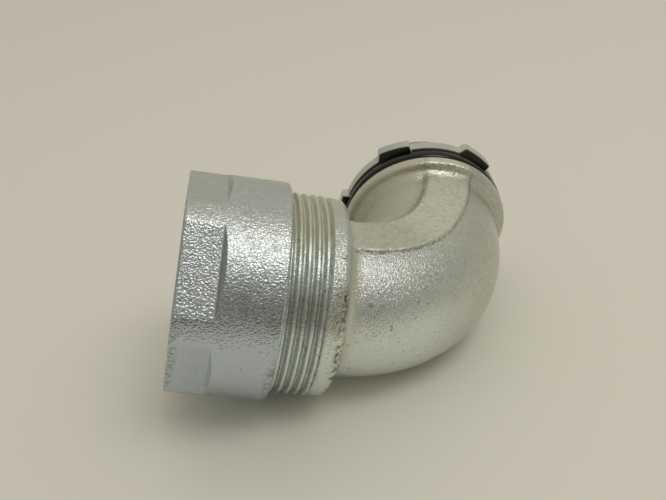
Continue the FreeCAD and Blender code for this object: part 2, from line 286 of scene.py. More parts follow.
def outline(corners, arc_spacing=ARC_SPACING):
    """Closed outline through corners, each (zone, place, radius, rounding, spacing of the run after it).

    Gives its points, and for each the name of the zone that it lies in."""
    points = np.array([corner[1:3] for corner in corners], float)
    count = len(corners)
    arcs = []
    for index, (_, _, _, rounding, _) in enumerate(corners):
        here = points[index]
        before = points[index - 1] - here
        after = points[(index + 1) % count] - here
        before = before / np.linalg.norm(before)
        after = after / np.linalg.norm(after)
        if rounding == 0:
            arcs.append(here[None])
            continue
        half = math.acos(np.clip(before @ after, -1, 1)) / 2
        sweep = math.pi - 2 * half
        middle = before + after
        centre = here + middle / np.linalg.norm(middle) * rounding / math.sin(half)
        start = here + before * rounding / math.tan(half) - centre
        finish = here + after * rounding / math.tan(half) - centre
        steps = max(3, math.ceil(sweep * rounding / arc_spacing))
        share = np.linspace(0, 1, steps + 1)[:, None]
        turned = np.sin((1 - share) * sweep) * start + np.sin(share * sweep) * finish
        arcs.append(centre + turned / math.sin(sweep))
    runs, zones = [], []
    for index, arc in enumerate(arcs):
        zone, spacing = corners[index][0], corners[index][4]
        start, finish = arc[-1], arcs[(index + 1) % count][0]
        steps = max(1, round(np.linalg.norm(finish - start) / spacing))
        share = np.linspace(0, 1, steps + 1)[1:-1, None]
        run = np.concatenate([arc, start + share * (finish - start)])
        runs.append(run)
        zones.extend([zone] * len(run))
    return np.concatenate(runs), np.array(zones)


def in_zones(zone, *names):
    """For each ring, in a column, whether it lies in one of the named zones."""
    return np.isin(zone, names)[:, None]


def barrel_line(along):
    """Ring centres and outward ways for a piece on the conduit axis."""
    centre = np.stack([along, 0 * along, 0 * along], axis=-1)
    return centre, np.broadcast_to(np.array([0.0, -1.0, 0.0]), centre.shape)


def hub_line(along):
    """Ring centres and outward ways for a piece on the hub axis."""
    centre = np.stack([0 * along, along, 0 * along], axis=-1)
    return centre, np.broadcast_to(np.array([1.0, 0.0, 0.0]), centre.shape)


def bent_line(along):
    """Ring centres and outward ways along the casting's bent middle line."""
    past = along + BEND_RADIUS
    turn = np.clip(past / BEND_RADIUS, 0, math.pi / 2)
    outward = np.stack([np.sin(turn), -np.cos(turn), 0 * turn], axis=-1)
    centre = BEND_CENTRE + BEND_RADIUS * outward
    centre[:, 0] += np.minimum(past, 0)
    centre[:, 1] += np.maximum(past - BEND_LENGTH, 0)
    return centre, outward


def rings(line, along, radius, angle):
    """Grid of points, each row a ring about the line; radius and angle may differ from point to point."""
    centre, outward = line(along)
    upward = np.array([0.0, 0.0, 1.0])
    spread = np.cos(angle)[..., None] * outward[:, None] + np.sin(angle)[..., None] * upward
    return centre[:, None] + radius[..., None] * spread


def even_angles(count):
    """Angles of the columns of a ring."""
    return np.arange(count) * TURN / count


def thread_height(along, angle, pitch, crest, crest_flat, root_flat):
    """Height of a right-handed thread with straight flanks, from 0 in its groove to 1 on its crest."""
    turns = ((along - crest) / pitch + angle / TURN) % 1.0
    from_crest = np.minimum(turns, 1 - turns) * pitch
    flank = (pitch - crest_flat - root_flat) / 2
    return np.clip((crest_flat / 2 + flank - from_crest) / flank, 0.0, 1.0)


def barrel_thread(along, angle):
    """Height of the thread of barrel and gland nut, for places along X."""
    return thread_height(along, angle, THREAD_PITCH, THREAD_CREST, THREAD_CREST_FLAT, THREAD_ROOT_FLAT)


def hub_thread(along, angle):
    """Height of the thread of hub and locknut, for places along Y."""
    return thread_height(along, angle, HUB_PITCH, LOCKNUT_BACK, HUB_FLAT, HUB_FLAT)


def patch(along, angle, mark):
    """Soft round mark on a ring surface, given as place, degrees, length, width in degrees and strength."""
    place, degrees, length, width, strength = mark
    from_angle = (np.degrees(angle) - degrees + 180) % 360 - 180
    distance = np.sqrt(((along - place) / length) ** 2 + (from_angle / width) ** 2)
    return strength * (1 - smooth_step(distance, *PATCH_FADE))


def outward_sign(grid):
    """1 if quads that go over and then down a closed grid face outwards, and -1 if they face inwards."""
    below = np.roll(grid, -1, axis=0)
    beside = np.roll(grid, -1, axis=1)
    across = np.roll(below, -1, axis=1)
    volume = np.sum(grid * np.cross(beside, across)) + np.sum(grid * np.cross(across, below))
    return math.copysign(1.0, volume)


def grid_normals(grid):
    """Unit outward normals of a grid that joins up both ways."""
    down = np.roll(grid, -1, axis=0) - np.roll(grid, 1, axis=0)
    over = np.roll(grid, -1, axis=1) - np.roll(grid, 1, axis=1)
    normal = np.cross(over, down) * outward_sign(grid)
    return normal / np.maximum(np.linalg.norm(normal, axis=-1, keepdims=True), TINY)


def closed_mesh(name, grid, marks):
    """Mesh of quads over a grid that joins up both ways, with a share per point for each mark."""
    rows, columns = grid.shape[:2]
    first = np.arange(rows * columns).reshape(rows, columns)
    below = np.roll(first, -1, axis=0)
    beside = np.roll(first, -1, axis=1)
    across = np.roll(below, -1, axis=1)
    quads = np.stack([first, beside, across, below], axis=-1).reshape(-1, 4)
    if outward_sign(grid) < 0:
        quads = quads[:, ::-1]
    mesh = bpy.data.meshes.new(name)
    mesh.from_pydata(in_row(grid.reshape(-1, 3)).tolist(), [], quads.tolist())
    for mark, values in marks.items():
        shares = np.broadcast_to(values, grid.shape[:2]).astype(np.float32)
        mesh.attributes.new(mark, "FLOAT", "POINT").data.foreach_set("value", shares.ravel())
    return mesh


def dressed(name, grid, marks, material, body, slot, sharp_angle=SHARP_ANGLE):
    """Makes the piece over a grid that stands for the CAD node of its name and rides on a body."""
    mesh = closed_mesh(name + "_skin", grid, marks)
    mesh.polygons.foreach_set("use_smooth", np.ones(len(mesh.polygons), bool))
    mesh.set_sharp_from_angle(angle=math.radians(sharp_angle))
    mesh.materials.append(material)
    piece = bpy.data.objects.new(name + "_skin", mesh)
    bpy.context.scene.collection.objects.link(piece)
    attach(piece, body)
    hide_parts(name)


# Shape of the elbow casting

def edge_circle(radius, place_at_flange):
    """Centre and radius of the arc in which an edge of the pad leaves the bend and reaches the flange."""
    outward = np.array([math.sin(PAD_SPREAD_ANGLE), -math.cos(PAD_SPREAD_ANGLE)])
    start = BEND_CENTRE[:2] + radius * outward
    chord = np.array([place_at_flange, FLANGE_BACK]) - start
    reach = chord @ chord / (2 * chord @ outward)
    return start + outward * reach, abs(reach)


def edge_offset(along, radius, place_at_flange):
    """How far outward from the middle line an edge of the pad runs, for each ring."""
    centre, outward = bent_line(np.minimum(along, FLANGE_BACK + HUB_SHIFT))
    middle, reach = edge_circle(radius, place_at_flange)
    from_middle = centre[:, :2] - middle
    half = np.sum(from_middle * outward[:, :2], axis=-1)
    rest = np.sum(from_middle ** 2, axis=-1) - reach ** 2
    root = np.sqrt(np.maximum(half ** 2 - rest, 0))
    first, second = -half - root, -half + root
    spread = np.where(np.abs(first) < np.abs(second), first, second)
    plain = radius - BEND_RADIUS
    turned = (along + BEND_RADIUS) / BEND_RADIUS > PAD_SPREAD_ANGLE
    return np.where(turned, spread, plain)


def elbow_outline():
    """Outline of the casting, inside and outside, along its bent middle line."""
    flange_back = FLANGE_BACK + HUB_SHIFT
    flange_face = FLANGE_FACE + HUB_SHIFT
    hub_end = HUB_END + HUB_SHIFT
    return outline([
        ("thread", BARREL_END, THREAD_ROOT, BARREL_ROUNDING, 0.4),
        ("thread", BARREL_CLOSE_ROWS_START, THREAD_ROOT, 0, 0.17),
        ("run out", COLLAR_START - THREAD_RUN_OUT, THREAD_ROOT, 0, 0.2),
        ("collar", COLLAR_START, THREAD_RADIUS, COLLAR_STEP_ROUNDING, 0.45),
        ("collar", COLLAR_END, THREAD_RADIUS - COLLAR_TAPER, COLLAR_ROUNDING, 0.45),
        ("bend", COLLAR_END, TUBE_RADIUS, COLLAR_FILLET, 0.66),
        ("bend", flange_back - FLANGE_FLARE_LENGTH, TUBE_RADIUS, FLANGE_FLARE_ROUNDING, 0.6),
        ("flange", flange_back, TUBE_RADIUS + FLANGE_FLARE, FLANGE_FILLET, 0.45),
        ("flange", flange_back, FLANGE_RADIUS, FLANGE_ROUNDING, 0.45),
        ("face", flange_face, FLANGE_RADIUS, FLANGE_ROUNDING / 2, 0.9),
        ("face", flange_face, HUB_RELIEF_RADIUS, 0, 0.6),
        ("face", HUB_RELIEF_END + HUB_SHIFT, HUB_RELIEF_RADIUS, 0, 0.6),
        ("hub thread", HUB_RELIEF_END + HUB_SHIFT, HUB_ROOT_RADIUS, 0, 0.36),
        ("hub thread", HUB_TAPER_START + HUB_SHIFT, HUB_RADIUS, 0, 0.36),
        ("hub thread", HUB_END - HUB_LEAD_IN + HUB_SHIFT, HUB_RADIUS, 0, 0.4),
        ("face", hub_end, HUB_RADIUS - HUB_LEAD_IN, 0, 0.6),
        ("face", hub_end, PASSAGE_RADIUS + HUB_MOUTH_WIDENING, 0, 0.8),
        ("passage", HUB_END - HUB_MOUTH_DEPTH + HUB_SHIFT, PASSAGE_RADIUS, 0, 6.0),
        ("passage", SOCKET_SHOULDER, PASSAGE_RADIUS, 0, 1.9),
        ("passage", SOCKET_SHOULDER, SOCKET_RADIUS, 0, 4.0),
        ("passage", BARREL_END + SOCKET_TAPER, SOCKET_RADIUS, 0, 1.3),
        ("passage", BARREL_END, SOCKET_MOUTH_RADIUS, 0, 0.6),
    ])


def elbow_angles(zone, outer_offset, inner_offset):
    """Angles of the points on each ring: columns of points run along the pad's edges, where it has them."""
    outer_edge = math.acos((PAD_OUTER_RADIUS - BEND_RADIUS) / TUBE_RADIUS)
    inner_edge = math.acos((PAD_INNER_RADIUS - BEND_RADIUS) / TUBE_RADIUS)
    outer_wall = outer_edge + PAD_WALL_COLUMNS
    inner_wall = inner_edge - PAD_INNER_SPREAD * PAD_WALL_COLUMNS
    columns = np.sort(np.concatenate([even_angles(ELBOW_COLUMNS), outer_wall, inner_wall]))
    plain = [0, outer_edge, inner_edge, math.pi, TURN]
    angle = np.empty((len(zone), len(columns)))
    for row, name in enumerate(zone):
        bent = plain
        if name in ("bend", "flange", "face", "hub thread"):
            edges = [math.acos(offset[row] / TUBE_RADIUS) for offset in (outer_offset, inner_offset)]
            bent = [0, *edges, math.pi, TURN]
        angle[row] = np.interp(columns, plain, bent)
    return angle


def barrel_rings(along, zone):
    """For each ring, in a column, whether it belongs to the threaded barrel."""
    return in_zones(zone, "thread", "run out", "collar") & (along < COLLAR_START)[:, None]


# Marks on the elbow casting: where its plate is dulled by a film, worn, dusty, dirty or stained, and where
# a painted reflection of the bright floor lightens what faces down

# Limits by how far a surface faces up or lies towards the pad, from -1 to 1, by radians round the bend
# and by the height of the thread, from 0 to 1, with the strengths of these marks
FILM_START = 0.8
FILM_START_ON_THREAD = 0.66
FILM_FADE = 0.25
FILM_ON_BEND = 0.9
FILM_ON_BEND_SPAN = (0.4, 1.0)
WORN_SPAN = (0.45, 0.9)
FLOOR_LIGHT_FACING = (-0.42, -0.1)
FLOOR_LIGHT_ON_BEND_SPAN = (0.3, 0.9)
CREST_SPAN = (0.75, 1.0)
THREAD_DUST = 0.75
THREAD_DUST_FACING = (0.74, 0.95)
RECESS_DUST_SIDE = (-0.5, 0.0)

# Limits in millimetres, from the pad's edges or along the middle line, with the strengths of these marks
RECESS_DUST_SPAN = (0.0, 2.5)
COLLAR_DUST_SPAN = (COLLAR_END - 2.2, COLLAR_END - 0.2)
# Along the pad's outer edge the dirt and stain also paint the shade at the foot of its wall
OUTER_LINE_PLACE = 0.2
OUTER_LINE_SPAN = (0.1, 0.8)
OUTER_LINE_DIRT_AND_SHADE = 0.42
INNER_LINE_PLACE = 0.6
INNER_LINE_SPAN = (0.4, 2.0)
LINE_STAIN_AND_SHADE = 0.35

# Round ones, as place along the middle line, degrees round it, length, width in degrees and strength
RUBBED_FLANGE_EDGE = (FLANGE_BACK + HUB_SHIFT + 1.0, 88.0, 1.8, 34.0, 0.9)
RUBBED_FLANGE_FOOT = (FLANGE_BACK + HUB_SHIFT - 1.9, 88.0, 2.2, 34.0, 0.9)
COLLAR_DUST = (COLLAR_END + 1.2, 70.0, 3.8, 120.0, 0.6)
COLLAR_EDGE_DIRT = (COLLAR_END - 0.6, 12.0, 2.4, 52.0, 0.75)
RUN_OUT_DIRT = (COLLAR_START - 0.4, -8.0, 1.4, 14.0, 0.25)
COLLAR_STAIN = (-41.5, 36.0, 5.0, 18.0, 1.0)
THREAD_STAIN = (-50.0, 33.0, 16.0, 13.0, 0.6)
FLANGE_SIDE_STAIN = (FLANGE_BACK + HUB_SHIFT - 1.0, 52.0, 8.0, 34.0, 0.16)
# On the flange's back face, between its rim and the fillet, the stain is partly painted shade
FLANGE_TOP_STAIN_AND_SHADE = (FLANGE_BACK + HUB_SHIFT - 0.1, 92.0, 0.9, 40.0, 0.85)


def elbow_marks(along, angle, zone, from_outer, from_inner, pad):
    """Shares per point of the casting's marks, apart from what follows its threads and nicks."""
    place = along[:, None]
    outside = in_zones(zone, "thread", "run out", "collar", "bend", "flange")
    cast = in_zones(zone, "collar", "bend", "flange")
    on_bend = in_zones(zone, "bend", "flange")
    on_top = (np.sin(angle) > 0) * on_bend
    turned = (place + BEND_RADIUS) / BEND_RADIUS
    ring_way = rings(bent_line, along, np.ones_like(angle), angle) - bent_line(along)[0][:, None]
    upward = ring_way @ ELBOW_AXES[:, 2]
    # Film on what faces up, on the pad and towards the flange, rubbed off at the flange's top
    film_start = np.where(in_zones(zone, "thread"), FILM_START_ON_THREAD, FILM_START)
    film = smooth_step(upward, film_start, film_start + FILM_FADE) * outside
    film = np.maximum(film, pad)
    film = np.maximum(film, FILM_ON_BEND * smooth_step(turned, *FILM_ON_BEND_SPAN) * on_bend)
    rubbed_and_shade = [patch(place, angle, mark) for mark in (RUBBED_FLANGE_EDGE, RUBBED_FLANGE_FOOT)]
    film = film * (1 - np.maximum(*rubbed_and_shade))
    worn = smooth_step(turned, *WORN_SPAN) * pad
    # Painted light: what faces down is lightened, standing in for the floor's reflection
    painted_floor_light = smooth_step(-upward, *FLOOR_LIGHT_FACING) * (1 - smooth_step(turned, *FLOOR_LIGHT_ON_BEND_SPAN))
    # Dust in the recess beside the pad, behind the collar and on the thread's top
    in_recess = smooth_step(-from_inner, *RECESS_DUST_SPAN) * smooth_step(np.sin(angle), *RECESS_DUST_SIDE)
    behind_collar = smooth_step(place, *COLLAR_DUST_SPAN) * in_zones(zone, "collar", "bend")
    by_collar = patch(place, angle, COLLAR_DUST) * behind_collar
    on_thread_top = THREAD_DUST * smooth_step(upward, *THREAD_DUST_FACING) * barrel_rings(along, zone)
    dust = np.maximum.reduce([in_recess * on_bend, by_collar, on_thread_top])
    # Dirt and stains along the pad's edges, by the collar and by the flange; along the pad's outer edge and
    # on the flange's back face they are partly painted shade
    outer_line = (1 - smooth_step(np.abs(from_outer - OUTER_LINE_PLACE), *OUTER_LINE_SPAN)) * on_top
    inner_line = (1 - smooth_step(np.abs(from_inner - INNER_LINE_PLACE), *INNER_LINE_SPAN)) * on_top
    dirt = np.maximum.reduce([
        OUTER_LINE_DIRT_AND_SHADE * outer_line,
        patch(place, angle, COLLAR_EDGE_DIRT) * in_zones(zone, "collar"),
        patch(place, angle, RUN_OUT_DIRT) * outside,
    ])
    stain = np.maximum.reduce([
        LINE_STAIN_AND_SHADE * outer_line,
        LINE_STAIN_AND_SHADE * inner_line,
        patch(place, angle, COLLAR_STAIN) * cast,
        patch(place, angle, THREAD_STAIN) * in_zones(zone, "thread"),
        patch(place, angle, FLANGE_SIDE_STAIN) * on_bend,
        patch(place, angle, FLANGE_TOP_STAIN_AND_SHADE) * on_bend,
    ])
    return {"machined": 1 - cast, "film": film, "worn": worn, "painted_floor_light": painted_floor_light,
            "dust": dust, "dirt": dirt, "stain": stain}


# Skin of the elbow casting

def elbow_grid():
    """Skin of the casting with its marks."""
    places, zone = elbow_outline()
    along, radius = places.T
    outer_offset = edge_offset(along, PAD_OUTER_RADIUS, PAD_OUTER_AT_FLANGE)
    inner_offset = edge_offset(along, PAD_INNER_RADIUS, PAD_INNER_AT_FLANGE)
    angle = elbow_angles(zone, outer_offset, inner_offset)
    # Threads: the body's stands on its root, the hub's is cut into its cone
    on_barrel = barrel_rings(along, zone)
    on_body_thread = on_barrel * smooth_step(along, *BARREL_LEAD_IN)[:, None]
    body_height = barrel_thread(along[:, None], angle)
    on_hub_thread = in_zones(zone, "hub thread")
    hub_groove = (1 - hub_thread(along[:, None] - HUB_SHIFT, angle)) * on_hub_thread
    grown = np.maximum(radius[:, None], (THREAD_ROOT + THREAD_DEPTH * body_height) * on_body_thread)
    grown = grown - HUB_THREAD_DEPTH * hub_groove
    grid = rings(bent_line, along, grown, angle)
    # The collar's edge leans with the draft of its mould
    near_edge = smooth_step(along, *COLLAR_DRAFT_RISE) * (1 - smooth_step(along, *COLLAR_DRAFT_FALL))
    near_edge = near_edge[:, None] * in_zones(zone, "collar", "bend")
    grid[..., 0] += COLLAR_DRAFT * (COLLAR_DRAFT_MIDDLE - np.abs(np.sin(angle))) * near_edge
    # Flat pad: points inside its edges rise to its top
    offset = grown * np.cos(angle)
    from_outer = outer_offset[:, None] - offset
    from_inner = offset - inner_offset[:, None]
    on_top = (np.sin(angle) > 0) * in_zones(zone, "bend", "flange")
    pad = smooth_step(from_outer, *PAD_OUTER_WALL) * smooth_step(from_inner, *PAD_INNER_WALL) * on_top
    below_top = PAD_BLEND * np.logaddexp(0, (PAD_TOP - grid[..., 2]) / PAD_BLEND)
    grid[..., 2] += below_top * pad
    # Cast skin, with nicks in the collar's edge
    cast = in_zones(zone, "collar", "bend", "flange")
    nicks = 0 * angle
    for place, degrees, size in COLLAR_NICKS:
        nick = patch(along[:, None], angle, (place, degrees, size, size * NICK_WIDTH, 1.0))
        nicks = np.maximum(nicks, nick * cast)
    skin = cast_skin(grid, ELBOW_LUMPS, ELBOW_SKIN_DEPTH) - NICK_DEPTH * nicks * in_zones(zone, "collar")
    grid = grid + grid_normals(grid) * (cast * skin)[..., None]
    marks = elbow_marks(along, angle, zone, from_outer, from_inner, pad)
    marks["groove"] = (THREAD_RADIUS - grown) / THREAD_DEPTH * on_barrel + hub_groove
    # On the thread the painted floor light lies only on its crests, which are also worn bright
    crest = smooth_step(body_height, *CREST_SPAN) * on_body_thread
    marks["painted_floor_light"] = marks["painted_floor_light"] * np.maximum(cast, crest)
    marks["dirt"] = np.maximum(marks["dirt"], nicks)
    return grid, marks


# Gland nut

# Limits of marks by how far a surface faces up, by radius and by the rise and depth of the flats' walls
NUT_FILM = 0.5
NUT_FILM_FACING = (0.6, 1.0)
NUT_FLOOR_LIGHT_FACING = (-0.35, -0.1)
NUT_DIRT_RADIUS = (NUT_RADIUS - NUT_ROUNDING, NUT_RADIUS - NUT_ROUNDING / 2)
NUT_WALL_START = (0.2, 0.8)
NUT_WALL_DEPTH = (0.0, 0.6)

# Round marks, as place along X, degrees round it, length, width in degrees and strength
NUT_MOUTH_DIRT = (NUT_MOUTH + 0.6, -6.0, 2.6, 42.0, 0.45)
NUT_END_DIRT = (NUT_END - 1.0, -12.0, 2.5, 26.0, 0.45)
NUT_WALL_DUST = (NUT_FLAT_END + 0.6, 70.0, 6.0, 110.0, 0.55)
NUT_WALL_STAIN = (NUT_FLAT_END + 0.6, 108.5, 4.0, 40.0, 0.8)
NUT_END_STAIN = (NUT_END - 1.5, 27.0, 5.0, 8.0, 0.6)


def soft_minimum(first, second, softness):
    """Lower of two values, with a soft passage from one to the other."""
    return -softness * np.logaddexp(-first / softness, -second / softness)


def nut_outline():
    """Outline of the compression nut, outside and inside."""
    bore = THREAD_RADIUS + NUT_THREAD_CLEARANCE
    return outline([
        ("round", NUT_END, NUT_RADIUS, NUT_ROUNDING, 0.42),
        ("round", NUT_CLOSE_ROWS_END, NUT_RADIUS, 0, 0.14),
        ("round", NUT_CLOSE_ROWS_START, NUT_RADIUS, 0, 0.42),
        ("mouth", NUT_MOUTH, NUT_RADIUS, NUT_ROUNDING, 0.6),
        ("lip", NUT_MOUTH, NUT_LIP_RADIUS, NUT_ROUNDING, 0.8),
        ("inside", NUT_LIP, NUT_LIP_RADIUS, 0, 1.2),
        ("inside", NUT_LIP, NUT_CHAMBER_RADIUS, 0, 2.4),
        ("inside", NUT_THREAD_END, NUT_CHAMBER_RADIUS, 0, 1.4),
        ("thread", NUT_THREAD_END, bore, 0, 0.34),
        ("inside", NUT_END, bore, 0, 0.6),
    ])


def nut_grid():
    """Skin of the compression nut with its marks: cast outside with flats, a thread inside."""
    places, zone = nut_outline()
    along, radius = places.T
    place = along[:, None]
    angle = np.broadcast_to(even_angles(NUT_COLUMNS), (len(along), NUT_COLUMNS))
    outside = in_zones(zone, "round", "mouth")
    edge_radius = NUT_RADIUS - NUT_ROUNDING
    # Wrench flats at the mouth, each with a sloped wall at its inner end
    period = TURN / NUT_FLAT_COUNT
    from_flat = (angle - NUT_FLAT_ANGLE + period / 2) % period - period / 2
    past_flat = NUT_FLAT_CORNER * np.logaddexp(0, (along - NUT_FLAT_END) / NUT_FLAT_CORNER)
    wall_rise = past_flat / math.tan(NUT_FLAT_WALL_LEAN)
    on_mouth = zone == "mouth"
    mouth_drop = np.where(on_mouth, NUT_RADIUS - np.maximum(radius, edge_radius), 0)
    flat = (NUT_FLAT_DISTANCE + wall_rise - mouth_drop)[:, None] / np.cos(from_flat)
    grown = np.where(outside, soft_minimum(radius[:, None], flat, NUT_EDGE_SOFTNESS), radius[:, None])
    # The mouth's face runs from the lip out to that edge
    flat_edge = (NUT_FLAT_DISTANCE - NUT_ROUNDING) / np.cos(from_flat[:1])
    rim = soft_minimum(edge_radius, flat_edge, NUT_EDGE_SOFTNESS)
    on_face = on_mouth & (along < NUT_MOUTH + TINY) & (radius < edge_radius)
    lip_edge = NUT_LIP_RADIUS + NUT_ROUNDING
    share = (radius - lip_edge) / (edge_radius - lip_edge)
    grown = np.where(on_face[:, None], lip_edge + share[:, None] * (rim - lip_edge), grown)
    # Thread in the bore, clear of the body's by the same gap all over
    height = barrel_thread(place, angle)
    threaded = smooth_step(place, *NUT_THREAD_RISE) * (1 - smooth_step(place, *NUT_THREAD_FALL))
    in_bore = threaded * in_zones(zone, "thread")
    grown = grown - THREAD_DEPTH * (1 - height) * in_bore
    grid = rings(barrel_line, along, grown, angle)
    normal = grid_normals(grid)
    skin = cast_skin(grid, NUT_LUMPS, NUT_SKIN_DEPTH) * outside
    grid = grid + normal * skin[..., None]
    # Marks
    upward = normal @ ELBOW_AXES[:, 2]
    film = NUT_FILM * smooth_step(upward, *NUT_FILM_FACING) * outside
    # Painted light: the nut's underside is lightened as a reflection of the floor
    painted_floor_light = smooth_step(-upward, *NUT_FLOOR_LIGHT_FACING) * outside
    dirt = np.maximum(patch(place, angle, NUT_MOUTH_DIRT), patch(place, angle, NUT_END_DIRT)) * outside
    dirt = dirt * smooth_step(radius, *NUT_DIRT_RADIUS)[:, None]
    in_wall = smooth_step(past_flat, *NUT_WALL_START)[:, None]
    in_wall = in_wall * smooth_step(radius[:, None] - flat, *NUT_WALL_DEPTH)
    dust = patch(place, angle, NUT_WALL_DUST) * in_wall * outside
    stain = np.maximum(patch(place, angle, NUT_WALL_STAIN) * in_wall, patch(place, angle, NUT_END_STAIN))
    return grid, {"machined": 1 - outside, "groove": height * in_bore, "film": film, "painted_floor_light": painted_floor_light,
                  "dust": dust, "dirt": dirt, "stain": stain * outside}


# Turned rings

def ring_grid(corners, line, columns):
    """Skin of a plain turned ring over (place, radius, rounding, spacing) corners."""
    places, _ = outline([("ring", *corner) for corner in corners], FINE_ARC_SPACING)
    along, radius = places.T
    angle = np.broadcast_to(even_angles(columns), (len(along), columns))
    return rings(line, along, radius[:, None] + 0 * angle, angle)


def sealing_ring_grid():
    """Skin of the tapered plastic ring."""
    return ring_grid([
        (RING_BACK, RING_BORE, RING_BACK_ROUNDING, 1.0),
        (RING_BACK, RING_RADIUS, RING_BACK_ROUNDING, 1.5),
        (RING_TAPER_START, RING_RADIUS, RING_TAPER_ROUNDING, 1.0),
        (RING_TIP, RING_TIP_RADIUS, RING_TIP_ROUNDING, 0.5),
        (RING_TIP, RING_BORE, RING_TIP_ROUNDING, 2.0),
    ], barrel_line, RING_COLUMNS)


def hub_seal_grid():
    """Skin of the round rubber seal."""
    return ring_grid([
        (SEAL_BACK, SEAL_BORE, SEAL_BORE_ROUNDING, 1.0),
        (SEAL_BACK, SEAL_RADIUS, SEAL_ROUNDING, 0.3),
        (SEAL_FACE, SEAL_RADIUS, SEAL_ROUNDING, 1.0),
        (SEAL_FACE, SEAL_BORE, SEAL_BORE_ROUNDING, 0.8),
    ], hub_line, SEAL_COLUMNS)


def ferrule_grid():
    """Skin of the pressed cup and tube, with the coarse thread that is rolled into the tube."""
    back = SOCKET_SHOULDER - FERRULE_WALL
    bore = FERRULE_TUBE_RADIUS - FERRULE_WALL
    inside = FERRULE_CUP_RADIUS - FERRULE_WALL
    rim_back = FERRULE_CUP_END - FERRULE_WALL
    rim_face = FERRULE_CUP_END - 2 * FERRULE_WALL
    tube_rounding = FERRULE_WALL / 3
    places, zone = outline([
        ("cup", SOCKET_SHOULDER, bore, FERRULE_CUP_ROUNDING, 1.0),
        ("cup", SOCKET_SHOULDER, FERRULE_CUP_RADIUS, FERRULE_CUP_ROUNDING, 1.0),
        ("cup", rim_back, FERRULE_CUP_RADIUS, FERRULE_RIM_FILLET, 0.4),
        ("cup", rim_back, FERRULE_RIM_RADIUS, FERRULE_RIM_FILLET, 0.5),
        ("cup", rim_face, FERRULE_RIM_RADIUS, FERRULE_RIM_ROUNDING, 0.5),
        ("cup", rim_face, inside, FERRULE_INNER_ROUNDING, 0.8),
        ("cup", back, inside, FERRULE_INNER_ROUNDING, 0.8),
        ("tube", back, FERRULE_TUBE_RADIUS, FERRULE_INNER_ROUNDING, 0.35),
        ("end", FERRULE_TUBE_END, FERRULE_TUBE_RADIUS, tube_rounding, 0.4),
        ("bore", FERRULE_TUBE_END, bore, tube_rounding, 0.35),
    ], FINE_ARC_SPACING)
    along, radius = places.T
    place = along[:, None]
    angle = np.broadcast_to(even_angles(FERRULE_COLUMNS), (len(along), FERRULE_COLUMNS))
    height = thread_height(place, angle, FERRULE_PITCH, FERRULE_TUBE_END, FERRULE_FLAT, FERRULE_FLAT)
    threaded = smooth_step(place, *FERRULE_THREAD_RISE) * smooth_step(back - place, *FERRULE_THREAD_FALL)
    rolled = radius[:, None] - FERRULE_GROOVE_DEPTH * (1 - height) * threaded * in_zones(zone, "tube")
    rolled = rolled + FERRULE_BORE_GROOVE_DEPTH * height * threaded * in_zones(zone, "bore")
    return rings(barrel_line, along, rolled, angle)


# Locknut

# How far its surface faces the seal where it is painted near black as shade
PAINTED_SHADE_FACING = (0.12, 0.45)


def locknut_grid():
    """Skin of the stamped ring with sheared and twisted lugs, a thread in its bore and painted shade
    towards the seal.
    """
    places, zone = outline([
        ("back", LOCKNUT_BACK, LOCKNUT_BORE, LOCKNUT_BORE_ROUNDING, 0.45),
        ("rim", LOCKNUT_BACK, LOCKNUT_RADIUS, LOCKNUT_BACK_ROUNDING, 0.5),
        ("front", LOCKNUT_FRONT, LOCKNUT_RADIUS, LOCKNUT_FRONT_ROUNDING, 0.45),
        ("thread", LOCKNUT_FRONT, LOCKNUT_BORE, LOCKNUT_BORE_ROUNDING, 0.25),
    ], FINE_ARC_SPACING)
    along, radius = places.T
    place = along[:, None]
    angle = np.broadcast_to(even_angles(LOCKNUT_COLUMNS), (len(along), LOCKNUT_COLUMNS))
    # Each lug reaches out past the rim and twists from its sheared end to its ramp
    turn = (np.degrees(angle[:1]) - LUG_START_ANGLE) % (360.0 / LUG_COUNT)
    lug = smooth_step(turn, *LUG_SHEAR_SPAN) * (1 - smooth_step(turn, *LUG_RAMP_SPAN))
    reach = smooth_step(radius, LOCKNUT_WEB_RADIUS, LOCKNUT_RADIUS)[:, None]
    grown = radius[:, None] + (LUG_RADIUS - LOCKNUT_RADIUS) * reach * lug
    along_lug = np.minimum(turn / LUG_WIDTH_ANGLE, 1)
    twist = LUG_SHEARED_SHIFT + (LUG_RAMP_SHIFT - LUG_SHEARED_SHIFT) * along_lug
    bent = np.clip((grown - LUG_BEND_RADIUS) / (LUG_RADIUS - LUG_BEND_RADIUS), 0, 1)
    # Thread in the bore
    groove = 1 - hub_thread(place, angle)
    start = smooth_step(place - LOCKNUT_BACK, *LOCKNUT_THREAD_FADE)
    finish = smooth_step(LOCKNUT_FRONT - place, *LOCKNUT_THREAD_FADE)
    cut = HUB_THREAD_DEPTH * groove * start * finish * in_zones(zone, "thread")
    grid = rings(hub_line, along, grown - cut, angle)
    grid[..., 1] += twist * bent * lug
    # Faces that turn towards the seal carry painted shade
    return grid, {"rubbed_and_shade": smooth_step(-grid_normals(grid)[..., 1], *PAINTED_SHADE_FACING)}


# Material nodes

def node(tree, kind, settings=None, **inputs):
    """New shader node. An input goes by its socket's name, or by _ and its number.

    A socket as its value is linked, any other value is set."""
    made = tree.nodes.new("ShaderNode" + kind)
    for key, value in (settings or {}).items():
        setattr(made, key, value)
    for key, value in inputs.items():
        socket = made.inputs[int(key[1:])] if key[1:].isdigit() else made.inputs[key.replace("_", " ")]
        if isinstance(value, bpy.types.NodeSocket):
            tree.links.new(value, socket)
        else:
            socket.default_value = value
    return made


def noise(tree, place, scale, detail=3.0, roughness=0.5):
    """Noise value; scale is lumps per metre."""
    made = node(tree, "TexNoise", Vector=place, Scale=scale, Detail=detail, Roughness=roughness)
    return made.outputs[0]


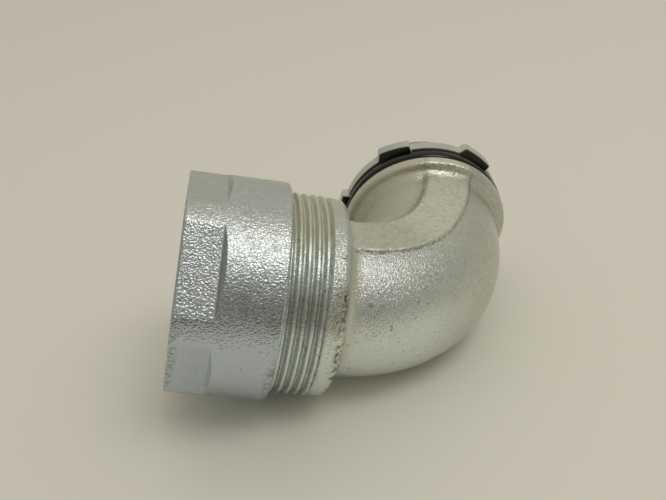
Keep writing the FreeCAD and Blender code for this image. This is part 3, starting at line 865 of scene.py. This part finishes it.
def between(tree, value, low, high, start=0.0, end=1.0):
    """Value spread from low..high to start..end, held at both ends."""
    made = node(tree, "MapRange", Value=value, From_Min=low, From_Max=high, To_Min=start, To_Max=end)
    return made.outputs[0]


def maths(tree, operation, first, second):
    """Sum, product or other pairing of two values."""
    return node(tree, "Math", {"operation": operation}, _0=first, _1=second).outputs[0]


def product(tree, first, second):
    """One value times another."""
    return maths(tree, "MULTIPLY", first, second)


def mixed(tree, share, first, second):
    """Colour between two colours."""
    made = node(tree, "Mix", {"data_type": "RGBA"}, _0=share, _6=first, _7=second)
    return made.outputs[2]


def marked(tree, name):
    """Share per point that the mesh carries under a name."""
    return node(tree, "Attribute", {"attribute_name": name}).outputs["Fac"]


def bumped(tree, height, distance, strength, **below):
    """Normal disturbed by a height, in metres of relief; Normal may give one that is disturbed already."""
    return node(tree, "Bump", Height=height, Distance=distance, Strength=strength, **below).outputs[0]


def new_material(name):
    """Material, its nodes and its empty principled shader."""
    material = bpy.data.materials.new(name)
    material.use_nodes = True
    tree = material.node_tree
    return material, tree, tree.nodes["Principled BSDF"]


def own_place(tree):
    """The piece's own coordinates."""
    return node(tree, "TexCoord").outputs["Object"]


# Cast and plated zinc: colours, shares and roughnesses of what lies on the plate

GROOVE_SHADE_TINT = (0.57, 0.635, 0.635, 1)
MOTTLE_TINT = (0.40, 0.41, 0.35, 1)
WORN_TINT = (0.74, 0.77, 0.66, 1)
BLOTCH_TINT = (0.44, 0.44, 0.34, 1)
DUST_TINT = (0.60, 0.60, 0.49, 1)
STAIN_TINT = (0.40, 0.34, 0.25, 1)
DIRT_TINT = (0.06, 0.056, 0.045, 1)
FILM_COVER = 0.9
MOTTLE_COVER = 0.22
BLOTCH_COVER = 0.34
FILM_METAL_LOSS = 0.1
DUST_METAL_LOSS = 0.4
ROUGHNESS_SPREAD = 0.08
FILM_ROUGHNESS = 0.05
DUST_ROUGHNESS = 0.11
MACHINED_SMOOTHING = 0.4
LEVEL_GRAIN = 0.5
FINE_GRAINS = 3200.0
FINE_GRAIN_HEIGHT = 0.00003
FINE_GRAIN_STRENGTH = 0.6


def casting_colour(tree, place, film, light, warm, film_tint, floor_light_tint, specks_cover):
    """Colour of plated zinc, from the plate itself up to the dirt on it, with painted shade in thread
    grooves and painted floor light on what faces down.
    """
    warmer = between(tree, noise(tree, place, scale=60.0), low=0.4, high=0.65)
    tone = mixed(tree, warmer, light, warm)
    # Thread grooves take a darker bluish-green: zinc colour there, deepened as painted shade
    tone = mixed(tree, product(tree, marked(tree, "groove"), marked(tree, "machined")), tone, GROOVE_SHADE_TINT)
    tone = mixed(tree, product(tree, film, FILM_COVER), tone, film_tint)
    mottle = between(tree, noise(tree, place, scale=520.0), low=0.42, high=0.68, end=MOTTLE_COVER)
    tone = mixed(tree, mottle, tone, MOTTLE_TINT)
    tone = mixed(tree, marked(tree, "worn"), tone, WORN_TINT)
    tone = mixed(tree, marked(tree, "painted_floor_light"), tone, floor_light_tint)
    blotches = between(tree, noise(tree, place, scale=640.0), low=0.46, high=0.62, end=BLOTCH_COVER)
    tone = mixed(tree, product(tree, blotches, film), tone, BLOTCH_TINT)
    tone = mixed(tree, marked(tree, "dust"), tone, DUST_TINT)
    clouds = between(tree, noise(tree, place, scale=150.0), low=0.25, high=0.6)
    flecks = between(tree, noise(tree, place, scale=1100.0, detail=2.0), low=0.35, high=0.6, start=0.3)
    stained = product(tree, marked(tree, "stain"), product(tree, clouds, flecks))
    tone = mixed(tree, stained, tone, STAIN_TINT)
    crumbs = between(tree, noise(tree, place, scale=800.0, roughness=0.6), low=0.46, high=0.58)
    dirty = product(tree, marked(tree, "dirt"), crumbs)
    dots = noise(tree, place, scale=850.0, detail=2.0)
    specks = between(tree, dots, low=0.66, high=0.71, end=specks_cover)
    specks = product(tree, specks, between(tree, film, low=0.0, high=0.5, start=1.0, end=0.2))
    return mixed(tree, maths(tree, "MAXIMUM", dirty, specks), tone, DIRT_TINT)


def plated_casting(name, light, warm, film_tint, floor_light_tint, specks_cover, metal, dullness, grains,
                   steepness):
    """Zinc plate over a grainy casting, dull and beige under a film; grains are counted per metre."""
    material, tree, shader = new_material(name)
    place = own_place(tree)
    film = marked(tree, "film")
    dust = marked(tree, "dust")
    machined = marked(tree, "machined")
    tone = casting_colour(tree, place, film, light, warm, film_tint, floor_light_tint, specks_cover)
    tree.links.new(tone, shader.inputs["Base Color"])
    shine = between(tree, film, low=0.0, high=1.0, start=metal, end=metal - FILM_METAL_LOSS)
    shine = maths(tree, "SUBTRACT", shine, product(tree, dust, DUST_METAL_LOSS))
    tree.links.new(shine, shader.inputs["Metallic"])
    clouds = noise(tree, place, scale=250.0)
    rough = between(tree, clouds, low=0.3, high=0.7, start=dullness, end=dullness + ROUGHNESS_SPREAD)
    rough = maths(tree, "ADD", rough, product(tree, film, FILM_ROUGHNESS))
    rough = maths(tree, "ADD", rough, product(tree, maths(tree, "MAXIMUM", dust, machined), DUST_ROUGHNESS))
    tree.links.new(rough, shader.inputs["Roughness"])
    grain = noise(tree, place, grains, detail=1.5)
    smooth = product(tree, machined, MACHINED_SMOOTHING)
    relief = node(tree, "Mix", {"data_type": "FLOAT"}, _0=smooth, _2=grain, _3=LEVEL_GRAIN).outputs[0]
    normal = bumped(tree, relief, distance=steepness / grains, strength=1.0)
    fine_grain = noise(tree, place, FINE_GRAINS, detail=1.0)
    normal = bumped(tree, fine_grain, FINE_GRAIN_HEIGHT, FINE_GRAIN_STRENGTH, Normal=normal)
    tree.links.new(normal, shader.inputs["Normal"])
    return material


# Pressed steel, rubber and nylon

STEEL_DARKENING = 0.86
STEEL_METAL = 0.8
# Painted shade: where the locknut faces the seal its colour goes near black and its metal drops
PAINTED_SHADE_METAL = 0.4
PAINTED_SHADE_TINT = (0.02, 0.02, 0.018, 1)


def plated_steel(name, light):
    """Smooth zinc plate on pressed steel, painted near black as shade where its mesh marks it."""
    material, tree, shader = new_material(name)
    place = own_place(tree)
    patches = noise(tree, place, scale=140.0)
    darker = tuple(STEEL_DARKENING * channel for channel in light[:3]) + (1,)
    tone = mixed(tree, between(tree, patches, low=0.35, high=0.7), light, darker)
    rubbed_and_shade = marked(tree, "rubbed_and_shade")
    tree.links.new(mixed(tree, rubbed_and_shade, tone, PAINTED_SHADE_TINT), shader.inputs["Base Color"])
    shine = between(tree, rubbed_and_shade, low=0.0, high=1.0, start=STEEL_METAL, end=PAINTED_SHADE_METAL)
    tree.links.new(shine, shader.inputs["Metallic"])
    rough = between(tree, patches, low=0.3, high=0.7, start=0.42, end=0.55)
    tree.links.new(rough, shader.inputs["Roughness"])
    dimples = noise(tree, place, scale=1800.0, detail=2.0)
    normal = bumped(tree, dimples, distance=0.00006, strength=0.4)
    tree.links.new(normal, shader.inputs["Normal"])
    return material


def soft_plastic(name, colour, darker, smoothest, roughest, density):
    """Rubber or nylon with a faint mottle and moulded skin."""
    material, tree, shader = new_material(name)
    place = own_place(tree)
    shader.inputs["IOR"].default_value = density
    patches = noise(tree, place, scale=180.0)
    tone = mixed(tree, between(tree, patches, low=0.35, high=0.7), colour, darker)
    tree.links.new(tone, shader.inputs["Base Color"])
    rough = between(tree, patches, low=0.3, high=0.7, start=smoothest, end=roughest)
    tree.links.new(rough, shader.inputs["Roughness"])
    dimples = noise(tree, place, scale=1500.0, detail=2.0)
    normal = bumped(tree, dimples, distance=0.00002, strength=0.3)
    tree.links.new(normal, shader.inputs["Normal"])
    return material


# Pieces

body_zinc = plated_casting(
    "body_zinc", light=(0.62, 0.665, 0.665, 1), warm=(0.60, 0.63, 0.60, 1),
    film_tint=(0.61, 0.635, 0.55, 1), floor_light_tint=(0.75, 0.80, 0.76, 1), specks_cover=0.7,
    metal=0.8, dullness=0.11, grains=1900.0, steepness=0.55)
nut_zinc = plated_casting(
    "nut_zinc", light=(0.56, 0.61, 0.655, 1), warm=(0.545, 0.587, 0.62, 1),
    film_tint=(0.555, 0.585, 0.52, 1), floor_light_tint=(0.565, 0.63, 0.69, 1), specks_cover=0.25,
    metal=1.0, dullness=0.18, grains=1550.0, steepness=0.437)
steel_zinc = plated_steel("steel_zinc", light=(0.67, 0.685, 0.625, 1))
rubber = soft_plastic(
    "rubber", colour=(0.006, 0.006, 0.006, 1), darker=(0.010, 0.010, 0.009, 1),
    smoothest=0.09, roughest=0.15, density=1.42)
nylon = soft_plastic(
    "nylon", colour=(0.78, 0.76, 0.68, 1), darker=(0.70, 0.67, 0.58, 1),
    smoothest=0.35, roughest=0.5, density=1.5)

dressed("elbow_body", *elbow_grid(), body_zinc, "elbow", "body_zinc")
dressed("gland_nut", *nut_grid(), nut_zinc, "gland_nut", "nut_zinc", NUT_SHARP_ANGLE)
dressed("sealing_ring", sealing_ring_grid(), {}, nylon, "sealing_ring", "nylon")
dressed("ferrule", ferrule_grid(), {}, steel_zinc, "elbow", "ferrule_zinc", FERRULE_SHARP_ANGLE)
dressed("hub_seal", hub_seal_grid(), {}, rubber, "hub_seal", "rubber")
dressed("locknut", *locknut_grid(), steel_zinc, "locknut", "locknut_zinc")

# Floor

FLOOR_REACH = 3.0
FLOOR_COLOUR = (0.89, 0.87, 0.80, 1)
FLOOR_ROUGHNESS = 0.6


def flat_plate(name, corners, colour, roughness):
    """Single matt face over four corners, in metres."""
    mesh = bpy.data.meshes.new(name)
    mesh.from_pydata(corners, [], [(0, 1, 2, 3)])
    material, _, shader = new_material(name)
    shader.inputs["Base Color"].default_value = colour
    shader.inputs["Roughness"].default_value = roughness
    mesh.materials.append(material)
    plate = bpy.data.objects.new(name, mesh)
    bpy.context.scene.collection.objects.link(plate)
    return plate


floor = flat_plate("floor", [
    (-FLOOR_REACH, -FLOOR_REACH, 0),
    (FLOOR_REACH, -FLOOR_REACH, 0),
    (FLOOR_REACH, FLOOR_REACH, 0),
    (-FLOOR_REACH, FLOOR_REACH, 0),
], FLOOR_COLOUR, FLOOR_ROUGHNESS)

# Light

# A pale room that is darker in front of the table and to its left, one soft lamp above and to the right
# of the camera, and a low dark card in front of the table that only reflections see

ROOM_COLOUR = (1.0, 0.965, 0.83, 1)
ROOM_LEVEL = 0.52
ROOM_RISE = 0.12
LAMP_COLOUR = (1.0, 0.97, 0.90)
LAMP_AIM = Vector((0, 0, 0.03))
CARD_LEFT = -0.30
CARD_RIGHT = 0.22
CARD_NEAR = -0.30
CARD_HEIGHT = 0.05
CARD_COLOUR = (0.10, 0.10, 0.09, 1)
CARD_ROUGHNESS = 0.9

# Darker sides of the room: azimuth, elevation, the span of cosines from that way, and the share taken off
ROOM_SHADES = [
    (40, 0, -0.5, 0.6, 0.30),
    (8, 5, 0.85, 1.0, 0.56),
    (-85, 15, 0.3, 0.9, 0.40),
]


def room_direction(azimuth, elevation):
    """Unit way from the part; azimuth 0 is the camera's side and 90 the +X side."""
    turn, lift = math.radians(azimuth), math.radians(elevation)
    return Vector((math.sin(turn) * math.cos(lift), -math.cos(turn) * math.cos(lift), math.sin(lift)))


def dimming(tree, way, towards, low, high, share):
    """Factor that falls from 1 by a share where a way turns towards a direction."""
    facing = node(tree, "VectorMath", {"operation": "DOT_PRODUCT"}, _0=way, _1=towards).outputs["Value"]
    made = node(tree, "MapRange", {"interpolation_type": "SMOOTHSTEP"}, Value=facing,
                From_Min=low, From_Max=high, To_Min=1.0, To_Max=1.0 - share)
    return made.outputs[0]


def pale_room():
    """World that grows lighter upwards and is darker on some sides."""
    world = bpy.data.worlds.new("room")
    bpy.context.scene.world = world
    world.use_nodes = True
    tree = world.node_tree
    way = node(tree, "TexCoord").outputs["Generated"]
    height = node(tree, "SeparateXYZ", Vector=way).outputs["Z"]
    level = between(tree, height, low=0.0, high=1.0, start=ROOM_LEVEL, end=ROOM_LEVEL + ROOM_RISE)
    for azimuth, elevation, low, high, share in ROOM_SHADES:
        shade = dimming(tree, way, room_direction(azimuth, elevation), low, high, share)
        level = product(tree, level, shade)
    background = tree.nodes["Background"]
    background.inputs["Color"].default_value = ROOM_COLOUR
    tree.links.new(level, background.inputs["Strength"])


def soft_lamp(name, azimuth, elevation, distance, width, height, power):
    """Rectangular lamp that faces the part."""
    light = bpy.data.lights.new(name, "AREA")
    light.shape = "RECTANGLE"
    light.size, light.size_y = width, height
    light.energy = power
    light.color = LAMP_COLOUR
    lamp = bpy.data.objects.new(name, light)
    way = room_direction(azimuth, elevation)
    lamp.location = way * distance + LAMP_AIM
    lamp.rotation_mode = "QUATERNION"
    lamp.rotation_quaternion = way.to_track_quat("Z", "Y")
    bpy.context.scene.collection.objects.link(lamp)


pale_room()
soft_lamp("key", azimuth=48, elevation=62, distance=1.8, width=0.84, height=0.80, power=6.6)

card = flat_plate("dark_card", [
    (CARD_LEFT, CARD_NEAR, 0),
    (CARD_RIGHT, CARD_NEAR, 0),
    (CARD_RIGHT, CARD_NEAR, CARD_HEIGHT),
    (CARD_LEFT, CARD_NEAR, CARD_HEIGHT),
], CARD_COLOUR, CARD_ROUGHNESS)
card.visible_camera = False
card.visible_diffuse = False
card.visible_shadow = False

# Camera, placed in the elbow's frame

CAMERA_PLACE = np.array([-87.511, -206.458, 191.383])
CAMERA_RIGHT = np.array([0.978372, -0.048758, 0.201023])
CAMERA_UP = np.array([-0.121969, 0.648922, 0.751015])
CAMERA_BACK = np.array([-0.167066, -0.759291, 0.628941])
SENSOR_WIDTH = 36.0
FOCAL_PIXELS = 853.97
PHOTO_WIDTH = 666

camera_data = bpy.data.cameras.new("camera")
camera_data.sensor_fit = "HORIZONTAL"
camera_data.sensor_width = SENSOR_WIDTH
camera_data.lens = SENSOR_WIDTH * FOCAL_PIXELS / PHOTO_WIDTH
camera_data.clip_start = 0.01
camera = bpy.data.objects.new("camera", camera_data)
bpy.context.scene.collection.objects.link(camera)
turned_axes = np.stack([CAMERA_RIGHT, CAMERA_UP, CAMERA_BACK]) @ ELBOW_AXES
camera_matrix = Matrix(turned_axes.T.tolist()).to_4x4()
camera_matrix.translation = Vector(in_row(CAMERA_PLACE))
camera.matrix_world = camera_matrix
bpy.context.scene.camera = camera

bpy.context.scene.view_settings.view_transform = "Standard"
